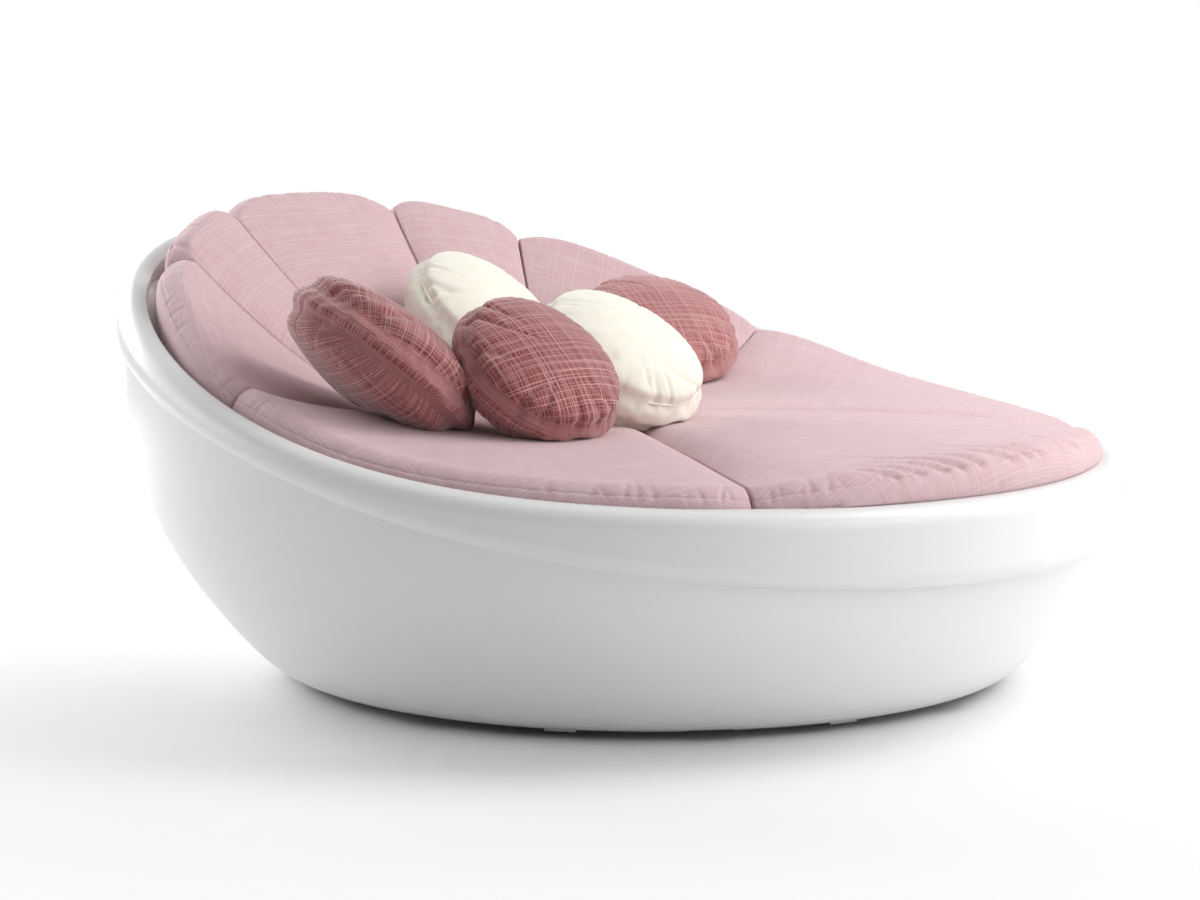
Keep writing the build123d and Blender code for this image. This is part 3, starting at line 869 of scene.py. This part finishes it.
class DAYBED_OT_hardware(Operator):
    """Finish the castors, brackets, columns, screws and drain"""

    bl_idname = "daybed.hardware"
    bl_label = "Finish Hardware"

    def execute(self, context):
        values = settings().hardware
        # Zinc plating: a bright grey metal with a fine crystal grain
        zinc = plain_finish(
            "zinc_plated_steel", values.zinc, roughness=0.35, metallic=1.0, grain=0.002, depth=0.0001
        )
        # Powder coat: even satin with a slight orange peel
        coat = plain_finish(
            "powder_coated_steel", values.bracket, roughness=0.45, metallic=0.0, grain=0.001, depth=0.0001
        )
        # Moulded rubber: matt black
        tyre = plain_finish(
            "moulded_rubber", values.tyre, roughness=0.7, metallic=0.0, grain=0.0015, depth=0.0002
        )
        # Moulded polypropylene: dull, with a fine tool grain
        column = plain_finish(
            "moulded_polypropylene", values.column, roughness=0.5, metallic=0.0, grain=0.002, depth=0.0001
        )
        drain = plain_finish(
            "moulded_drain_plastic", values.drain, roughness=0.5, metallic=0.0, grain=0.002, depth=0.0001
        )
        dress_nodes(zinc, "column_screws", "castor_plates", "castor_bolts")
        dress_nodes(zinc, *nodes_named("castor_fork"), *nodes_named("castor_axle"))
        dress_nodes(coat, "castor_brackets")
        dress_nodes(tyre, *nodes_named("castor_wheel"))
        dress_nodes(column, *nodes_named("support_column"))
        dress_nodes(drain, "drain_grate")
        return {"FINISHED"}


class DAYBED_OT_pads(Operator):
    """Build the eight wedge pads with their sewn edges"""

    bl_idname = "daybed.pads"
    bl_label = "Build Wedge Pads"

    def execute(self, context):
        values = settings().pads
        colours = (values.colour, values.slub_colour, values.shade_colour)
        fabric = woven_slub("woven_acrylic_pink", *colours, sheen=0.25, strength=0.32)
        for node in PAD_NODES:
            vertices, faces, cloth, free, middle, seam_line = build_pad(node, values)
            piece = new_piece(node + "_cover", vertices, faces, cloth)
            stuff(piece, free, values)
            refine(piece)
            gather_pad(piece, node, middle, seam_line, values)
            piece.data.materials.append(fabric)
            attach(piece, "bed")
            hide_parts(node)
        return {"FINISHED"}


def facing(azimuth, elevation):
    turn, lift = math.radians(azimuth), math.radians(elevation)
    return Vector((math.sin(turn) * math.cos(lift), -math.cos(turn) * math.cos(lift), math.sin(lift)))


def pillow_axes(azimuth, elevation):
    """The way a pillow's face looks, level across it, and up along it."""
    normal = facing(azimuth, elevation)
    across = Vector((0.0, 0.0, 1.0)).cross(normal).normalized()
    return normal, across, normal.cross(across)


def pillow_profile(values, radius, half_height):
    """Radius and height of a pillow's section, from the middle of one face to the middle of the other."""
    seam = radius * values.seam_share
    box = values.boxing / 2
    half = []
    for share in np.linspace(0.0, 1.0, FACE_STEPS + 1):
        swell = (1.0 - share ** SWELL_POWERS[0]) ** SWELL_POWERS[1]
        half.append((seam * share, box + (half_height - box) * swell))
    half.append((seam + (radius - seam) * 0.75, box * 0.5))
    return [*half, (radius, 0.0), *((run, -height) for run, height in reversed(half))]


def pillow_faces(ring_count):
    """Faces between the rings of a pillow, whose first and last points are its poles."""
    faces = []
    last = 1 + (ring_count - 1) * SPOKES
    for here in range(1, last, SPOKES):
        for spoke in range(SPOKES):
            following = (spoke + 1) % SPOKES
            there = here + SPOKES
            faces.append((here + spoke, there + spoke, there + following, here + following))
    for spoke in range(SPOKES):
        following = (spoke + 1) % SPOKES
        faces.append((0, 1 + spoke, 1 + following))
        faces.append((last + spoke, last + SPOKES, last + following))
    return faces


def build_pillow(name, values):
    """Boxed round pillow on its CAD solid: its points, faces, cloth and freedom, and its two seam rings."""
    centre, azimuth, elevation, radius, half_height, _fabric = PILLOWS[name]
    centre = Vector(centre)
    normal, across, up = pillow_axes(azimuth, elevation)
    probe = SolidProbe(name)
    profile = pillow_profile(values, radius, half_height)
    last = len(profile) - 1
    seam_rows = (FACE_STEPS, last - FACE_STEPS)
    developed = [0.0]
    for before, after in zip(profile, profile[1:]):
        developed.append(developed[-1] + math.dist(before, after))
    vertices, cloth, free = [], [], []
    for row, (run, height) in enumerate(profile):
        for spoke in range(1 if row in (0, last) else SPOKES):
            turn = 2 * math.pi * spoke / SPOKES
            nominal = across * (run * math.cos(turn)) + up * (run * math.sin(turn)) + normal * height
            found = probe.hit(centre, nominal.normalized())
            distance = nominal.length
            held = row in seam_rows
            if found is not None:
                solid = (found - centre).length
                held = held or solid < distance * CUT_SHARE
                distance = min(distance, solid) if held else solid
            if row in seam_rows:
                distance -= values.seam_inset
            vertices.append(centre + nominal.normalized() * distance)
            if seam_rows[0] < row < seam_rows[1]:
                cloth.append((radius * turn, developed[row]))
            elif row <= seam_rows[0]:
                cloth.append((developed[row] * math.cos(turn), developed[row] * math.sin(turn)))
            else:
                length = developed[-1] - developed[row]
                shift = FACE_DISTANCE if row > seam_rows[1] else 0.0
                cloth.append((length * math.cos(turn) + shift, length * math.sin(turn)))
            free.append(0.0 if held else 1.0)
    rings = [range(1 + (row - 1) * SPOKES, 1 + row * SPOKES) for row in seam_rows]
    return vertices, pillow_faces(last - 1), cloth, free, rings


def piping(name, points, radius, material):
    """Corded edge that follows a sewn seam all round."""
    curve = bpy.data.curves.new(name, "CURVE")
    curve.dimensions = "3D"
    curve.bevel_depth = radius
    curve.bevel_resolution = 2
    curve.resolution_u = 2
    spline = curve.splines.new("POLY")
    spline.points.add(len(points) - 1)
    for target, place in zip(spline.points, points):
        target.co = (*place, 1.0)
    spline.use_cyclic_u = True
    drawn = bpy.data.objects.new(name + "_path", curve)
    bpy.context.scene.collection.objects.link(drawn)
    graph = bpy.context.evaluated_depsgraph_get()
    data = bpy.data.meshes.new_from_object(drawn.evaluated_get(graph))
    bpy.data.objects.remove(drawn)
    data.polygons.foreach_set("use_smooth", [True] * len(data.polygons))
    data.materials.clear()
    data.materials.append(material)
    cord = bpy.data.objects.new(name, data)
    bpy.context.scene.collection.objects.link(cord)
    return cord


class DAYBED_OT_pillows(Operator):
    """Build the five boxed round pillows"""

    bl_idname = "daybed.pillows"
    bl_label = "Build Round Pillows"

    def execute(self, context):
        values = settings().pillows
        red = (values.red, values.red_slub, values.red_shade)
        rose = (values.rose, values.rose_slub, values.rose_shade)
        white = (values.white, values.white_slub, values.white_shade)
        fabrics = {
            "red": woven_slub("woven_acrylic_red", *red, sheen=0.5, strength=0.62),
            "rose": woven_slub("woven_acrylic_rose", *rose, sheen=0.4, strength=0.55),
            "white": woven_slub("woven_acrylic_white", *white, sheen=0.15, strength=0.3),
        }
        for name, (*_placing, fabric) in PILLOWS.items():
            vertices, faces, cloth, free, rings = build_pillow(name, values)
            piece = new_piece(name + "_cover", vertices, faces, cloth)
            stuff(piece, free, values)
            seams = [[piece.data.vertices[index].co.copy() for index in ring] for ring in rings]
            refine(piece, 2)
            gather_pillow(piece, name, values)
            piece.data.materials.append(fabrics[fabric])
            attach(piece, "bed")
            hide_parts(name)
            if fabric == "white":
                for number, points in enumerate(seams, 1):
                    title = name + "_piping_" + str(number)
                    cord = piping(title, points, values.piping_radius, fabrics[fabric])
                    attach(cord, "bed")
        return {"FINISHED"}


class DAYBED_OT_stage(Operator):
    """Set up the floor, the soft studio light and the camera"""

    bl_idname = "daybed.stage"
    bl_label = "Set Up Studio"

    def execute(self, context):
        values = settings().stage
        scene = context.scene
        scene.view_settings.view_transform = "Standard"
        half = values.floor_size / 2
        corners = [(-half, -half, 0.0), (half, -half, 0.0), (half, half, 0.0), (-half, half, 0.0)]
        floor = new_piece("studio_floor", corners, [(0, 1, 2, 3)])
        floor.data.materials.append(studio_floor(values))
        scene.world = studio_world(values.ambient)
        for name, (place, size, power) in SOFTBOXES.items():
            new_lamp("softbox_" + name, place, size, power)
        camera_data = bpy.data.cameras.new("view")
        camera_data.lens = values.lens
        camera_data.sensor_fit = "HORIZONTAL"
        camera_data.sensor_width = 36.0
        camera = bpy.data.objects.new("view", camera_data)
        scene.collection.objects.link(camera)
        camera.location = values.camera_place
        camera.rotation_euler = Vector(values.camera_aim).to_track_quat("-Z", "Y").to_euler()
        scene.camera = camera
        return {"FINISHED"}


def studio_world(ambient):
    """Even soft light that the camera sees as plain white."""
    world = bpy.data.worlds.new("studio")
    world.use_nodes = True
    tree = world.node_tree
    tree.nodes.clear()
    output = tree.nodes.new("ShaderNodeOutputWorld")
    soft = tree.nodes.new("ShaderNodeBackground")
    white = tree.nodes.new("ShaderNodeBackground")
    blend = tree.nodes.new("ShaderNodeMixShader")
    rays = tree.nodes.new("ShaderNodeLightPath")
    soft.inputs["Color"].default_value = (1.0, 1.0, 1.0, 1.0)
    soft.inputs["Strength"].default_value = ambient
    white.inputs["Color"].default_value = (1.0, 1.0, 1.0, 1.0)
    tree.links.new(rays.outputs["Is Camera Ray"], blend.inputs[0])
    tree.links.new(soft.outputs[0], blend.inputs[1])
    tree.links.new(white.outputs[0], blend.inputs[2])
    tree.links.new(blend.outputs[0], output.inputs["Surface"])
    return world


def new_lamp(name, place, size, power):
    data = bpy.data.lights.new(name, "AREA")
    data.size = size
    data.energy = power
    lamp = bpy.data.objects.new(name, data)
    bpy.context.scene.collection.objects.link(lamp)
    lamp.location = place
    lamp.rotation_euler = (Vector(LIT_POINT) - Vector(place)).to_track_quat("-Z", "Y").to_euler()


def studio_floor(values):
    """Pale painted floor that keeps the contact shadow and fades to plain white away from the bed."""
    material, output = new_material("studio_floor_paint")
    place = add_node(material, "ShaderNodeTexCoord").outputs["Object"]
    distance = add_node(material, "ShaderNodeVectorMath", {0: place}, operation="LENGTH")
    fade = add_node(
        material,
        "ShaderNodeMapRange",
        {"Value": distance.outputs["Value"], "From Min": 1.0, "From Max": 2.6},
        interpolation_type="SMOOTHSTEP",
    )
    rays = add_node(material, "ShaderNodeLightPath")
    seen = add_node(
        material,
        "ShaderNodeMath",
        {0: fade.outputs["Result"], 1: rays.outputs["Is Camera Ray"]},
        operation="MULTIPLY",
    )
    paint = add_node(material, "ShaderNodeBsdfDiffuse", {"Color": linear(values.floor_colour)})
    glow = add_node(material, "ShaderNodeEmission", {"Color": (1.0, 1.0, 1.0, 1.0), "Strength": 1.0})
    mixed = add_node(
        material,
        "ShaderNodeMixShader",
        {0: seen.outputs["Value"], 1: paint.outputs["BSDF"], 2: glow.outputs["Emission"]},
    )
    material.node_tree.links.new(mixed.outputs["Shader"], output.inputs["Surface"])
    return material


class DAYBED_PT_panel(Panel):
    """Lists the steps that dress the day bed"""

    bl_label = "Day Bed"
    bl_idname = "DAYBED_PT_panel"
    bl_space_type = "VIEW_3D"
    bl_region_type = "UI"
    bl_category = "Day Bed"

    def draw(self, context):
        for step in STEPS:
            self.layout.operator(step.bl_idname)


STEPS = (DAYBED_OT_shell, DAYBED_OT_hardware, DAYBED_OT_pads, DAYBED_OT_pillows, DAYBED_OT_stage)
CLASSES = (
    ShellSettings,
    PadSettings,
    PillowSettings,
    HardwareSettings,
    StageSettings,
    DayBedSettings,
    *STEPS,
    DAYBED_PT_panel,
)


def register():
    for kind in CLASSES:
        bpy.utils.register_class(kind)
    bpy.types.Scene.day_bed = PointerProperty(type=DayBedSettings)


def unregister():
    del bpy.types.Scene.day_bed
    for kind in reversed(CLASSES):
        bpy.utils.unregister_class(kind)


def main():
    register()
    bpy.ops.daybed.shell()
    bpy.ops.daybed.hardware()
    bpy.ops.daybed.pads()
    bpy.ops.daybed.pillows()
    bpy.ops.daybed.stage()


if __name__ == "__main__":
    main()
